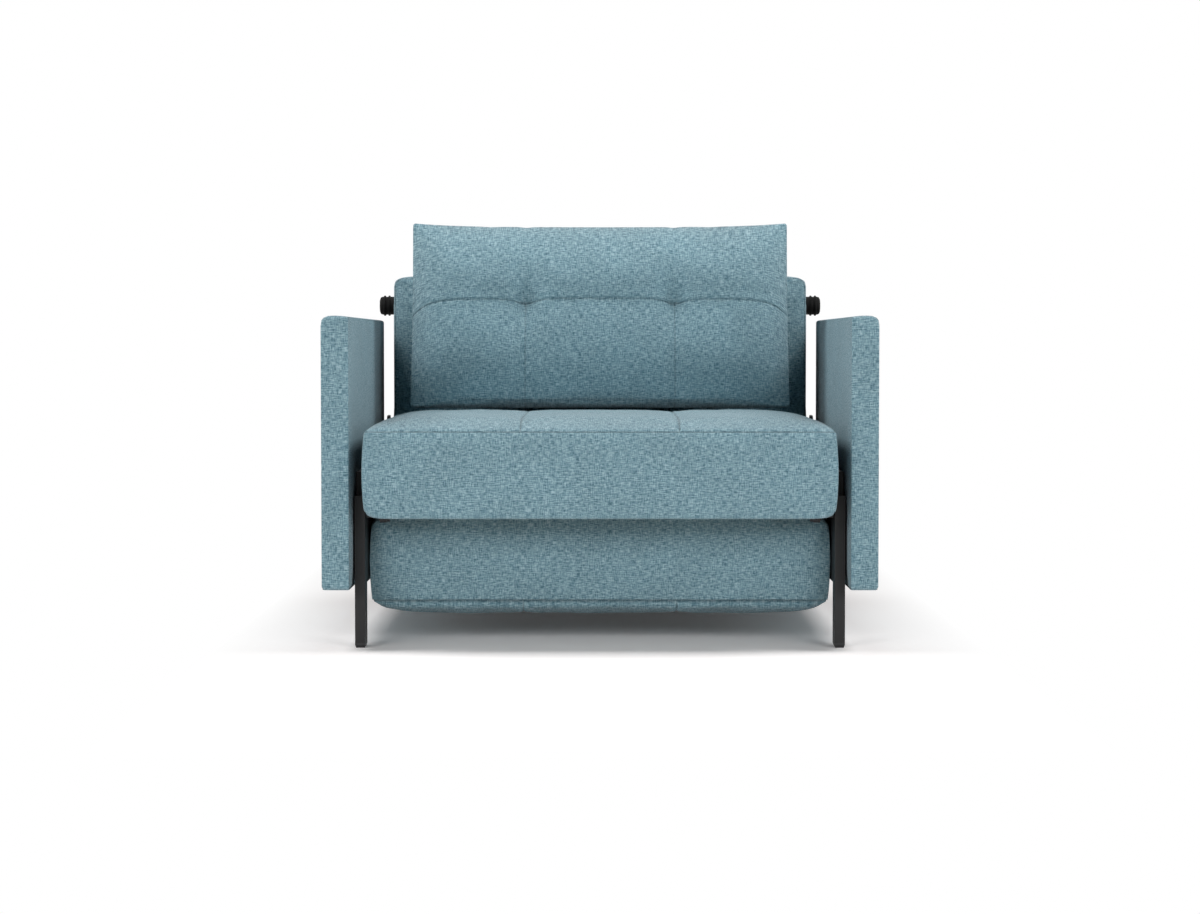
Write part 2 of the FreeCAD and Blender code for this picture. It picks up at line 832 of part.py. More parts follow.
def cushion_wire(x, half, low, high, waist, channel_share):
    """One side-view slice of the cushion: two bulges on each face, drawn in at the channel."""
    middle = low + channel_share * (high - low)
    d = cushion_middle
    above = middle + 0.45 * (high - middle)
    below = low + 0.55 * (middle - low)
    bulge = half
    channel = half * waist
    edge = min(4.0, half * 0.5)
    marks = [
        ((d - edge, high), (d - bulge, above), (d - channel, middle)),
        ((d - channel, middle), (d - bulge, below), (d - edge, low)),
        ((d + edge, low), (d + bulge, below), (d + channel, middle)),
        ((d + channel, middle), (d + bulge, above), (d + edge, high)),
    ]
    edges = [Part.Arc(*[at(*mark, x) for mark in arc]).toShape() for arc in marks]
    edges.insert(2, Part.LineSegment(at(*marks[1][2], x), at(*marks[2][0], x)).toShape())
    edges.append(Part.LineSegment(at(*marks[3][2], x), at(*marks[0][0], x)).toShape())
    return Part.Wire(edges)


def cushion(inset=0.0):
    half = cushion_thickness / 2 - inset
    side = cushion_width / 2 - inset
    low = cushion_bottom + inset
    high = cushion_top - inset
    half_stations = [
        (side, 0.07, 0.0, 0.98, 0.51),
        (side - 14.0, 0.36, 0.8, 0.97, 0.53),
        (side - 45.0, 0.62, 3.0, 0.96, 0.56),
        (side - 110.0, 0.90, 5.0, 0.94, 0.58),
        (cushion_seam + 60.0, 0.97, 7.0, 0.90, 0.59),
        (cushion_seam, 0.88, 9.0, 0.74, 0.575),
        (cushion_seam - 60.0, 0.98, 7.0, 0.90, 0.59),
        (0.0, 1.0, 6.0, 0.94, 0.60),
    ]
    if inset:
        half_stations = [half_stations[i] for i in (0, 2, 3, 5, 7)]
    stations = half_stations + [(-x, *rest) for x, *rest in half_stations[-2::-1]]
    wires = [
        cushion_wire(x, half * share, low, high - dip, waist, channel_share)
        for x, share, dip, waist, channel_share in stations
    ]
    return Part.makeLoft(wires, True, True)


def save_base():
    for name, mirror in (("left", False), ("right", True)):
        side = other_side if mirror else lambda shape: shape
        save("side_panel_" + name, side(side_panel()))
        save("front_leg_" + name, side(leg(front_leg_back, front_leg_height)))
        save("rear_leg_" + name, side(leg(rear_leg_front, panel_low_top)))
        save("pivot_plate_" + name, side(pivot_plate()))
        cover, core = arm_parts()
        save("arm_cover_" + name, side(cover))
        save("arm_core_" + name, side(core))
    plugs = [both_sides(foot_plug(d)) for d in (front_leg_back, rear_leg_front)]
    save("foot_plugs", Part.makeCompound(plugs))
    middle = rear_leg_front + leg_depth / 2
    depth = (middle - stretcher_depth / 2, middle + stretcher_depth / 2)
    bars = [
        hollow_block(
            (-member_inner, member_inner), depth, (z, z + stretcher_height), tube_wall, "x"
        )
        for z in (low_stretcher, high_stretcher)
    ]
    save("rear_stretchers", Part.makeCompound(bars))
    save("plate_bolts", Part.makeCompound([both_sides(plate_bolt(*p)) for p in plate_bolt_places]))
    save("seat_pins", both_sides(hinge_pin(seat_rear, seat_pin_z)))
    save("back_pins", both_sides(hinge_pin(back_pivot_d, back_pivot_z)))
    save("seat_stop_pins", both_sides(stop_pin()))
    save("arm_bolts", Part.makeCompound([both_sides(arm_bolt(*p)) for p in arm_bolt_places]))
    save("arm_spacers", Part.makeCompound([both_sides(arm_spacer(*p)) for p in arm_bolt_places]))


def save_seat():
    cover, foam = section_soft_parts(
        0.0,
        seat_rear,
        seat_bottom,
        seat_height,
        seat_crown,
        (lip_length, 0.0),
        seat_end_round,
        cross_seam,
    )
    save("seat_cover", cover)
    save("seat_foam", foam)
    first = lip_length + 2.0
    rail, cross, slats, holders = section_frame(
        first,
        seat_rear - 3.0,
        seat_bottom,
        (fold_back, seat_rear - 13.0),
        spaced(first + 65.0, seat_rear - 55.0, 7),
    )
    save("seat_rail_left", rail)
    save("seat_rail_right", other_side(rail))
    save("seat_cross_rails", cross)
    save("seat_slats", slats)
    save("seat_slat_holders", holders)
    save("seat_side_arms", both_sides(seat_side_arm()))
    save("fold_ears", both_sides(fold_ear()))
    save("fold_pins", both_sides(fold_pin()))


def save_foot():
    cover, foam = section_soft_parts(
        foot_front,
        foot_rear,
        seat_bottom,
        seat_height,
        seat_crown,
        (0.0, lip_length),
        0.0,
        foot_rear - cross_seam,
    )
    save("foot_cover", folded_under(cover))
    save("foot_foam", folded_under(foam))
    last = foot_rear - lip_length - 2.0
    rail, cross, slats, holders = section_frame(
        foot_front + 3.0,
        last,
        seat_bottom,
        (foot_front + 13.0, last - 11.0),
        spaced(foot_leg_d + 14.0 + slat_width, last - 60.0, 7),
    )
    save("foot_rail_left", folded_under(rail))
    save("foot_rail_right", folded_under(other_side(rail)))
    save("foot_cross_rails", folded_under(cross))
    save("foot_slats", folded_under(slats))
    save("foot_slat_holders", folded_under(holders))
    save("fold_plates", both_sides(fold_plate()))
    save("foot_leg_lugs", both_sides(foot_leg_lug()))
    tubes = []
    glides = []
    for x in (-foot_leg_at, foot_leg_at):
        tubes.append(
            drop_leg(x, foot_leg_d, foot_leg_z, foot_leg_z, foot_eye_radius, pin_radius + pin_clearance)
        )
        glides.append(drop_glide(x, foot_leg_d, 0.0))
    save("foot_leg_tubes", stowed_foot_leg(Part.makeCompound(tubes)))
    save("foot_leg_bar", stowed_foot_leg(cross_bar(foot_leg_at, foot_leg_d, 60.0)))
    save("foot_leg_glides", stowed_foot_leg(Part.makeCompound(glides)))


def save_back():
    far = back_front + back_length
    cover, foam = section_soft_parts(
        -far,
        -back_front,
        back_bottom,
        seat_height,
        back_crown,
        (lip_length, 0.0),
        back_end_round,
        corner=back_corner_round,
    )
    save("back_cover", raised(turned_about(cover)))
    save("back_foam", raised(turned_about(foam)))
    first = back_front + 28.0
    last = far - lip_length - 2.0
    rail, cross, slats, holders = section_frame(
        first,
        last,
        back_bottom,
        (first + 12.0, last - 11.0),
        spaced(first + 60.0, last - 60.0, 4),
    )
    save("back_rail_left", raised(rail))
    save("back_rail_right", raised(other_side(rail)))
    save("back_cross_rails", raised(cross))
    save("back_slats", raised(slats))
    save("back_slat_holders", raised(holders))
    save("back_brackets", both_sides(back_bracket()))
    reach = grip_end - 5.2
    save("head_tube", tube(at(head_d, head_z, -reach), at(head_d, head_z, reach), head_tube_radius))
    save("grip_left", grip())
    save("grip_right", other_side(grip()))
    save("tube_clamps", both_sides(tube_clamp(back_leg_at - clamp_from_leg)))
    length = head_z - head_tube_above - head_tube_behind
    tubes = []
    glides = []
    for x in (-back_leg_at, back_leg_at):
        tubes.append(
            drop_leg(x, head_d, head_z, length, head_tube_radius + 4.0, head_tube_radius + 0.3)
        )
        glides.append(drop_glide(x, head_d, head_z - length))
    save("back_leg_tubes", Part.makeCompound(tubes))
    save("back_leg_bar", cross_bar(back_leg_at, head_d, head_z - length + 45.0))
    save("back_leg_glides", Part.makeCompound(glides))


def turned_about(shape):
    """A section drawn in front of the seat, turned end for end to lie behind it."""
    turned = shape.copy()
    turned.rotate(at(0.0, 0.0), FreeCAD.Vector(0, 0, 1), 180)
    return turned


def save_cushion():
    outside = cushion()
    save("cushion_cover", skin(outside, cushion(cover_wall)))
    save("cushion_filling", cushion(cover_wall + foam_clearance))


os.makedirs("parts", exist_ok=True)
save_base()
save_seat()
save_foot()
save_back()
save_cushion()
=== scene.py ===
import math
import time
import bpy
import numpy as np
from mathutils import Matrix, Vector


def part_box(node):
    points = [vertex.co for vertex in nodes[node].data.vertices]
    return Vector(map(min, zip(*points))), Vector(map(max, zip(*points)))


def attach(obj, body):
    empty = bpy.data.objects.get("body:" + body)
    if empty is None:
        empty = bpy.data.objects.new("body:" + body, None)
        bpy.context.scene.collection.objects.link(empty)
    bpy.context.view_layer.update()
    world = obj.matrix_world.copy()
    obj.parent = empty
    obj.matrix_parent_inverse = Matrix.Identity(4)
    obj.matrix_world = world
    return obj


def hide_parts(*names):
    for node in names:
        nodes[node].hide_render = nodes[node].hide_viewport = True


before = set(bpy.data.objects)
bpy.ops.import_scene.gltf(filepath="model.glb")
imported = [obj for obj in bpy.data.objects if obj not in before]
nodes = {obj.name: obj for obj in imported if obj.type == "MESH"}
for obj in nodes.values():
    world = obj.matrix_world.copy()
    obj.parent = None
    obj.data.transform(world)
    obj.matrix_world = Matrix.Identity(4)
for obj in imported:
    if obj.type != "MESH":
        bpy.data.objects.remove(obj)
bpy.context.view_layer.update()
scene = bpy.context.scene
print("frame loaded:", len(nodes), "nodes")


# One shader value, so that node sums read as plain expressions
class Value:
    def __init__(self, maker, socket):
        self.maker = maker
        self.socket = socket

    def __add__(self, other):
        return self.maker.maths("ADD", self, other)

    def __sub__(self, other):
        return self.maker.maths("SUBTRACT", self, other)

    def __rsub__(self, other):
        return self.maker.maths("SUBTRACT", other, self)

    def __mul__(self, other):
        return self.maker.maths("MULTIPLY", self, other)

    __radd__ = __add__
    __rmul__ = __mul__

    def output(self, number):
        return Value(self.maker, self.socket.node.outputs[number])


# Adds nodes to one tree: settings are set first, then each socket takes a value or a link
class Nodes:
    def __init__(self, tree):
        self.tree = tree

    def node(self, kind, settings=None, output=0, **sockets):
        made = self.tree.nodes.new("ShaderNode" + kind)
        for key, value in (settings or {}).items():
            if key == "stops":  # a ramp's stops, as place and colour
                ramp = made.color_ramp
                while len(ramp.elements) < len(value):
                    ramp.elements.new(0.5)
                for stop, (place, colour) in zip(ramp.elements, value):
                    stop.position = place
                    stop.color = (*colour, 1.0)
            else:
                setattr(made, key, value)
        for key, value in sockets.items():  # i0, i1 and so on count the sockets, other words name them
            name = key.replace("_", " ")
            target = made.inputs[int(key[1:])] if key[1:].isdigit() else made.inputs[name]
            self.feed(target, value)
        return Value(self, made.outputs[output])

    def feed(self, target, value):
        if isinstance(value, Value):
            self.tree.links.new(value.socket, target)
        else:
            target.default_value = value

    def maths(self, operation, first, second=0.0):
        return self.node("Math", {"operation": operation}, i0=first, i1=second)

    def mix(self, amount, first, second):
        return self.node("Mix", {"data_type": "RGBA"}, output=2, i0=amount, i6=first, i7=second)

    def spread(self, value, low, high, start=0.0, end=1.0):
        return self.node("MapRange", Value=value, From_Min=low, From_Max=high, To_Min=start, To_Max=end)

    def stretched(self, vector, scale):
        return self.node("Mapping", Vector=vector, Scale=scale)

    def noise(self, vector, scale, detail=2.0, roughness=0.5):
        return self.node("TexNoise", Vector=vector, Scale=scale, Detail=detail, Roughness=roughness)

    # 1 for rays that come from the camera or from a mirror, 0 for the light that falls on the object
    def seen(self):
        return self.maths("MAXIMUM", self.node("LightPath"), self.node("LightPath", output=3))


class Finish(Nodes):
    def __init__(self, name, **plain):
        self.material = bpy.data.materials.new(name)
        self.material.use_nodes = True
        super().__init__(self.material.node_tree)
        self.shader = self.tree.nodes["Principled BSDF"]
        self.put(**plain)

    def put(self, **sockets):
        for key, value in sockets.items():
            self.feed(self.shader.inputs[key.replace("_", " ")], value)
        return self.material

    def bump(self, height, distance, strength=1.0, normal=None):
        sockets = {"Height": height, "Distance": distance, "Strength": strength}
        if normal is not None:
            sockets["Normal"] = normal
        return self.node("Bump", **sockets)

    def place(self):
        return self.node("TexCoord", output=3)


def tinted(colour, factor=1.0):
    return (*[c * factor for c in colour], 1.0)


# The upholstery: pale and dark teal yarns that cross, under a fine plain weave
weave = {
    "dark": (0.075, 0.160, 0.205),
    "middle": (0.190, 0.325, 0.380),
    "pale": (0.370, 0.520, 0.575),
    "stops": (0.12, 0.50, 0.88),  # where those three stand between the darkest and the palest yarn
    "slubLength": 84.0,  # slubs per metre along a yarn
    "slubWidth": 520.0,  # yarns per metre across
    "slubDetail": 2.0,
    "slubRoughness": 0.62,
    "yarnRange": (-0.10, 1.10),  # how far pale and dark yarns part
    "patches": 160.0,  # per metre, where one way of the yarns shows more
    "acrossShare": (0.48, 0.66),
    "threads": 620.0,  # per metre, both ways
    "clouds": 9.0,
    "cloudTone": (0.93, 1.05),
    # how far the painted seam shade darkens the cloth's colour
    "paintedShadeStrength": 0.55,
    "yarnHeight": 0.0011,
    "threadHeight": 0.00035,
    "roughness": (0.98, 0.86),  # on the lowest and on the highest yarn
    "sheen": 0.22,
    "sheenTint": (1.0, 0.93, 0.90, 1.0),
}


def wovenCloth(name):
    w = weave
    cloth = Finish(name, Sheen_Weight=w["sheen"], Sheen_Roughness=0.50, Sheen_Tint=w["sheenTint"],
                   Specular_IOR_Level=0.18)
    uv = cloth.node("UVMap", {"uv_map": "weave"})
    # yarns lying across and yarns lying along, each a noise stretched along its own thread
    long, fine = w["slubLength"], w["slubWidth"]
    across, along = [
        cloth.spread(cloth.noise(cloth.stretched(uv, scale), 1.0, w["slubDetail"], w["slubRoughness"]),
                     0.32, 0.68, *w["yarnRange"])
        for scale in ((long, fine, 1.0), (fine, long, 1.0))]
    patch = cloth.spread(cloth.noise(uv, w["patches"], 1.0), 0.40, 0.60, *w["acrossShare"])
    yarn = patch * across + (1 - patch) * along
    stops = list(zip(w["stops"], (w["dark"], w["middle"], w["pale"])))
    colour = cloth.node("ValToRGB", {"stops": stops}, Fac=yarn)
    # slow clouds of tone, with painted shade along the sewn lines and seamed edges
    crease = cloth.node("Attribute", {"attribute_name": "crease"}, output=2)
    tone = cloth.spread(cloth.noise(uv, w["clouds"], 3.0), 0.3, 0.7, *w["cloudTone"])
    tone = tone * (1 - crease * w["paintedShadeStrength"])
    colour = cloth.node("VectorMath", {"operation": "SCALE"}, i0=colour, Scale=tone)
    # the plain weave: the crossing of two sine waves, without its sign
    parts = cloth.node("SeparateXYZ", Vector=uv)
    waves = [cloth.maths("SINE", part * (w["threads"] * math.pi)) for part in (parts, parts.output(1))]
    threads = cloth.maths("ABSOLUTE", waves[0] * waves[1])
    normal = cloth.bump(yarn, w["yarnHeight"], 0.75)
    normal = cloth.bump(threads, w["threadHeight"], 0.5, normal)
    return cloth.put(Base_Color=colour, Normal=normal, Roughness=cloth.spread(yarn, 0.0, 1.0, *w["roughness"]))


# Powder coat: a fine peel, broad patches of tone, and paler lines where edges are worn
coat = {
    "peel": 900.0, "peelDepth": 0.00025, "patches": 7.0, "patchTone": (0.85, 1.25),
    "wornFrom": 0.53, "wornTo": 0.60, "wornAmount": 0.35, "wornTone": 2.6,
}


def paintedSteel(name, colour, rough):
    paint = Finish(name, Specular_IOR_Level=0.28)
    grain = paint.noise(paint.place(), coat["peel"], 3.0, 0.6)
    patch = paint.noise(paint.place(), coat["patches"])
    edge = paint.node("NewGeometry", output=7)
    worn = paint.spread(edge, coat["wornFrom"], coat["wornTo"], 0.0, coat["wornAmount"])
    tone = paint.mix(patch, *[tinted(colour, factor) for factor in coat["patchTone"]])
    tone = paint.mix(worn, tone, tinted(colour, coat["wornTone"]))
    return paint.put(Base_Color=tone, Roughness=paint.spread(grain, 0.3, 0.7, rough - 0.05, rough + 0.08),
                     Normal=paint.bump(grain, coat["peelDepth"], 0.35))


# Zinc plate: soft clouds of grey under a faint spangle
plating = {
    "dull": (0.50, 0.51, 0.53), "bright": (0.66, 0.67, 0.68), "spangle": 260.0, "spangleShare": 0.12,
    "clouds": 45.0, "roughness": (0.26, 0.42), "relief": 0.0002,
}


def zincSteel(name):
    zinc = Finish(name, Metallic=1.0, Anisotropic=0.3)
    spangle = zinc.node("TexVoronoi", output=1, Vector=zinc.place(), Scale=plating["spangle"])
    cloud = zinc.noise(zinc.place(), plating["clouds"], 3.0)
    tone = zinc.mix(cloud, tinted(plating["dull"]), tinted(plating["bright"]))
    tone = zinc.mix(plating["spangleShare"], tone, spangle)
    return zinc.put(Base_Color=tone, Roughness=zinc.spread(cloud, 0.3, 0.7, *plating["roughness"]),
                    Normal=zinc.bump(cloud, plating["relief"], 0.2))


# Moulded plastic: a spark-eroded grain
moulding = {
    "colour": (0.012, 0.012, 0.013), "tone": (0.8, 1.3), "grain": 1100.0, "grainDepth": 0.0001,
    "clouds": 20.0, "roughness": (0.42, 0.54),
}


def mouldedPlastic(name):
    plastic = Finish(name, Specular_IOR_Level=0.45)
    grain = plastic.node("TexVoronoi", Vector=plastic.place(), Scale=moulding["grain"])
    cloud = plastic.noise(plastic.place(), moulding["clouds"])
    tone = plastic.mix(cloud, *[tinted(moulding["colour"], factor) for factor in moulding["tone"]])
    return plastic.put(Base_Color=tone, Roughness=plastic.spread(cloud, 0.3, 0.7, *moulding["roughness"]),
                       Normal=plastic.bump(grain, moulding["grainDepth"], 0.4))


# Grip rubber: matt, with a fine bloom
grip = {
    "dark": (0.0035, 0.0035, 0.0035), "pale": (0.007, 0.007, 0.007), "grain": 1400.0,
    "grainDepth": 0.0003, "clouds": 30.0, "roughness": (0.62, 0.80),
}


def softRubber(name):
    rubber = Finish(name, Specular_IOR_Level=0.14)
    grain = rubber.noise(rubber.place(), grip["grain"], 4.0, 0.7)
    cloud = rubber.noise(rubber.place(), grip["clouds"])
    tone = rubber.mix(cloud, tinted(grip["dark"]), tinted(grip["pale"]))
    return rubber.put(Base_Color=tone, Roughness=rubber.spread(cloud, 0.3, 0.7, *grip["roughness"]),
                      Normal=rubber.bump(grain, grip["grainDepth"], 0.5))


# Beech slats: long grain along the slat, with short dark flecks
beech = {
    "dark": (0.50, 0.305, 0.165), "pale": (0.68, 0.47, 0.28), "fleck": (0.33, 0.18, 0.09),
    "grain": (3.0, 60.0, 60.0), "flecks": (40.0, 500.0, 500.0), "fleckShare": 0.55,
    "roughness": (0.42, 0.56), "relief": 0.0002,
}


def beechWood(name):
    wood = Finish(name, Specular_IOR_Level=0.35, Coat_Weight=0.15, Coat_Roughness=0.35)
    grain = wood.noise(wood.stretched(wood.place(), beech["grain"]), 3.0, 4.0, 0.6)
    flecks = wood.spread(wood.noise(wood.stretched(wood.place(), beech["flecks"]), 1.0, 1.0), 0.62, 0.68)
    tone = wood.mix(wood.spread(grain, 0.3, 0.7), tinted(beech["dark"]), tinted(beech["pale"]))
    tone = wood.mix(flecks * beech["fleckShare"], tone, tinted(beech["fleck"]))
    return wood.put(Base_Color=tone, Roughness=wood.spread(grain, 0.3, 0.7, *beech["roughness"]),
                    Normal=wood.bump(grain, beech["relief"], 0.3))


finishes = {
    "cloth": wovenCloth("teal_melange_cloth"),
    "steel": paintedSteel("black_powder_coat", (0.008, 0.008, 0.0083), 0.45),
    "plate": paintedSteel("black_satin_plate", (0.013, 0.013, 0.0135), 0.40),
    "zinc": zincSteel("zinc_plated_steel"),
    "plastic": mouldedPlastic("black_moulded_plastic"),
    "rubber": softRubber("black_grip_rubber"),
    "beech": beechWood("beech_slat_wood"),
}
# which finish each carried-over node takes; a name without its side stands for both sides
nodesOf = {
    "steel": ["side_panel", "front_leg", "rear_leg", "rear_stretchers", "seat_rail", "seat_cross_rails",
              "foot_rail", "foot_cross_rails", "foot_leg_tubes", "foot_leg_bar", "back_rail",
              "back_cross_rails", "head_tube", "back_leg_tubes", "back_leg_bar"],
    "plate": ["pivot_plate", "seat_side_arms", "fold_ears", "fold_pins", "fold_plates", "foot_leg_lugs",
              "back_brackets", "tube_clamps"],
    "zinc": ["plate_bolts", "seat_pins", "back_pins", "seat_stop_pins", "arm_bolts"],
    "plastic": ["arm_spacers", "foot_plugs", "seat_slat_holders", "foot_slat_holders", "back_slat_holders"],
    "rubber": ["foot_leg_glides", "back_leg_glides", "grip"],
    "beech": ["seat_slats", "foot_slats", "back_slats", "arm_core"],
}
for finish, starts in nodesOf.items():
    for start in starts:
        for ending in ("", "_left", "_right"):
            if start + ending in nodes:
                for slot in nodes[start + ending].material_slots:
                    slot.material = finishes[finish]
print("finishes set")


# A box lattice: the surface points of a grid of stations, with each face's own thread map.
# A point's key counts it in the full grid, so the faces share the points of their edges
def boxLattice(u, v, w):
    rows = (np.asarray(u, float), np.asarray(v, float), np.asarray(w, float))
    sizes = [len(row) for row in rows]
    keys, quads, threads = [], [], []
    for axis, (a, b) in enumerate(((1, 2), (2, 0), (0, 1))):
        for end in (0, 1):
            p, q = np.meshgrid(np.arange(sizes[a]), np.arange(sizes[b]), indexing="ij")
            place = [0, 0, 0]
            place[a], place[b] = p, q
            place[axis] = np.full(p.shape, (sizes[axis] - 1) * end)
            key = (place[0] * sizes[1] + place[1]) * sizes[2] + place[2]
            # threads run with x and with the length or height, whichever the face has
            across = rows[1][place[1]] if axis == 0 else rows[0][place[0]]
            up = rows[1][place[1]] if axis == 2 else rows[2][place[2]]
            run = np.stack([across, up], -1)
            quad = np.stack([key[:-1, :-1], key[1:, :-1], key[1:, 1:], key[:-1, 1:]], -1)
            mapped = np.stack([run[:-1, :-1], run[1:, :-1], run[1:, 1:], run[:-1, 1:]], -2)
            quad, mapped = quad.reshape(-1, 4), mapped.reshape(-1, 4, 2)
            if not end:
                quad, mapped = quad[:, ::-1], mapped[:, ::-1]
            keys.append(key.ravel())
            quads.append(quad)
            threads.append(mapped)
    found = np.unique(np.concatenate(keys))
    quads = np.searchsorted(found, np.concatenate(quads))
    i, rest = found // (sizes[1] * sizes[2]), found % (sizes[1] * sizes[2])
    points = np.stack([rows[0][i], rows[1][rest // sizes[2]], rows[2][rest % sizes[2]]], -1)
    return points, quads, np.concatenate(threads)


# Stations along one side: close together at both ends and at each seam, wider between
def stations(low, high, step, edge, seams=(), fine=0.0018):
    marks = [low, high]
    for share in (0.22, 0.45, 0.72, 1.0):
        marks += [low + edge * share, high - edge * share]
    for seam in seams:
        marks += [seam + k * fine for k in (-3, -1.8, -0.9, 0, 0.9, 1.8, 3)]
    marks = np.unique(np.round(marks, 6))
    rows = [marks[:1]]
    for a, b in zip(marks[:-1], marks[1:]):
        rows.append(np.linspace(a, b, max(int(math.ceil((b - a) / step)), 1) + 1)[1:])
    return np.concatenate(rows)


# Rounds one long edge of a box: points past the round's centre on both axes go to its arc
def roundEdge(points, axes, corner, radius):
    a, b = axes
    signs = np.sign(np.array(corner) - np.median(points[:, [a, b]], axis=0))
    centre = np.array(corner) - signs * radius
    away = (points[:, [a, b]] - centre) * signs
    near = (away > 0).all(axis=1)
    d = away[near]
    arc = d * (d.max(axis=1) / np.hypot(d[:, 0], d[:, 1]))[:, None]
    moved = points[near]
    moved[:, a] = centre[0] + signs[0] * arc[:, 0]
    moved[:, b] = centre[1] + signs[1] * arc[:, 1]
    points[near] = moved


# From 0 to 1 with no slope at either end: three squares less two cubes
def ease(t):
    t = np.clip(t, 0.0, 1.0)
    return t * t * (3 - 2 * t)


# A bell: 1 at no distance, falling as the exponential of minus the square of distance over width
def hump(distance, width):
    return np.exp(-(distance / width) ** 2)


# From 0 towards 1 as one minus the exponential of minus distance over reach
def climb(distance, reach):
    return 1 - np.exp(-distance / reach)


# Smooth hills and hollows: a few crossed sine waves of unlike lengths
def ripple(a, b, length, seed=0.0):
    p, q = a / length * math.tau, b / length * math.tau
    first = np.sin(p + 1.7 * np.sin(0.61 * q + seed) + seed)
    first = first * np.cos(0.83 * q + 1.3 * np.sin(0.47 * p + 2 * seed))
    second = 0.6 * np.sin(1.9 * p - 1.3 * q + 3 * seed)
    third = 0.4 * np.cos(2.7 * q + 0.9 * p + 5 * seed)
    return (first + second + third) / 2


def meshPiece(name, points, quads, threads, crease, body, replaced):
    mesh = bpy.data.meshes.new(name)
    mesh.vertices.add(len(points))
    mesh.vertices.foreach_set("co", np.ascontiguousarray(points, np.float32).ravel())
    mesh.loops.add(quads.size)
    mesh.loops.foreach_set("vertex_index", np.ascontiguousarray(quads, np.int32).ravel())
    mesh.polygons.add(len(quads))
    mesh.polygons.foreach_set("loop_start", np.arange(0, quads.size, 4, dtype=np.int32))
    mesh.polygons.foreach_set("use_smooth", np.ones(len(quads), bool))
    mesh.update(calc_edges=True)
    layer = mesh.uv_layers.new(name="weave")
    layer.uv.foreach_set("vector", np.ascontiguousarray(threads, np.float32).ravel())
    # each point's painted seam shade, which darkens the cloth's colour along seams and edges
    mesh.attributes.new("crease", "FLOAT", "POINT").data.foreach_set("value", crease.astype(np.float32))
    mesh.materials.append(finishes["cloth"])
    piece = bpy.data.objects.new(name, mesh)
    scene.collection.objects.link(piece)
    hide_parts(*replaced)
    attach(piece, body)
    return piece


filling = {"steps": 12, "quality": 5, "mass": 0.3, "stretch": 15.0, "shear": 9.0, "bend": 0.8}


# Cloth under pressure: seam points are pinned and the panels between them fill out. No point ends
# further than the cap from where it began, or outside the room from low to high
def fillOut(piece, pinned, pressure, cap, low, high):
    began = time.time()
    mesh = piece.data
    before = np.empty(len(mesh.vertices) * 3)
    mesh.vertices.foreach_get("co", before)
    before = before.reshape(-1, 3)
    group = piece.vertex_groups.new(name="seams")
    group.add(np.nonzero(pinned > 0.5)[0].tolist(), 1.0, "REPLACE")
    cloth = piece.modifiers.new("cloth", "CLOTH")
    settings = cloth.settings
    settings.quality = filling["quality"]
    settings.mass = filling["mass"]
    settings.tension_stiffness = filling["stretch"]
    settings.compression_stiffness = filling["stretch"]
    settings.shear_stiffness = filling["shear"]
    settings.bending_stiffness = filling["bend"]
    settings.use_pressure = True
    settings.uniform_pressure_force = pressure
    settings.vertex_group_mass = "seams"
    settings.effector_weights.gravity = 0.0
    cloth.collision_settings.use_collision = False
    cloth.point_cache.frame_start = 1
    cloth.point_cache.frame_end = filling["steps"]
    for step in range(1, filling["steps"] + 1):
        scene.frame_set(step)
    graph = bpy.context.evaluated_depsgraph_get()
    filled = piece.evaluated_get(graph).to_mesh()
    after = np.empty(len(mesh.vertices) * 3)
    filled.vertices.foreach_get("co", after)
    after = after.reshape(-1, 3)
    piece.evaluated_get(graph).to_mesh_clear()
    piece.modifiers.remove(cloth)
    piece.vertex_groups.remove(group)
    scene.frame_set(1)
    move = after - before
    size = np.linalg.norm(move, axis=1)
    print(piece.name, len(size), "points filled out by up to", round(float(size.max()) * 1000, 1),
          "mm, mean", round(float(size.mean()) * 1000, 2), "in", round(time.time() - began, 1), "s")
    move *= np.minimum(1.0, cap / np.maximum(size, 1e-9))[:, None]
    mesh.vertices.foreach_set("co", np.clip(before + move, low, high).astype(np.float32).ravel())
    mesh.update()


touching = 1e-6  # metres, closer than this is on the edge itself

# One mattress section, in its own terms: u across, v from the lip end, w up from its frame
section = {
    "halfWidth": 0.450, "lip": 0.062, "panelSeam": 0.150,
    "step": 0.010, "sideRows": 0.010, "endRows": 0.012, "lipRows": (-0.010, -0.006, -0.003, 0.0, 0.004),
    "edge": 0.0045, "rearCorner": 0.009, "lowSide": 0.007, "lowLip": 0.013, "lowRear": 0.006,
    "swellReach": 0.03, "swellPower": 0.8, "sideSwell": 0.0050, "lipSwell": 0.0035, "rearSwell": 0.003,
    "crownFromSide": 0.026, "crownFromEnd": 0.054, "crownPower": 4, "seamDip": 0.04, "dipWidth": 0.055,
    "cornerLift": 0.0105, "cornerReach": 0.015, "frameDepth": 0.038, "frameStep": 0.003,
    "seamWidth": 0.0016, "seamDepth": 0.0020, "rollAt": 0.005, "rollWidth": 0.003, "rollHeight": 0.0004,
    "gathers": 330, "gatherSway": 37, "gatherReach": 0.012, "gatherHeight": 0.0003,
    "edgeSeamDepth": 0.0014, "wander": 0.35, "wanderLength": 0.045, "seamShade": 0.8,
    "broadWaves": (0.21, 0.0012), "smallWaves": (0.07, 0.0003), "wavesFrom": 0.04,
    "lipFullness": 0.0010, "lipWaves": (0.17, 0.0008), "lipWavesFrom": 0.15,
}


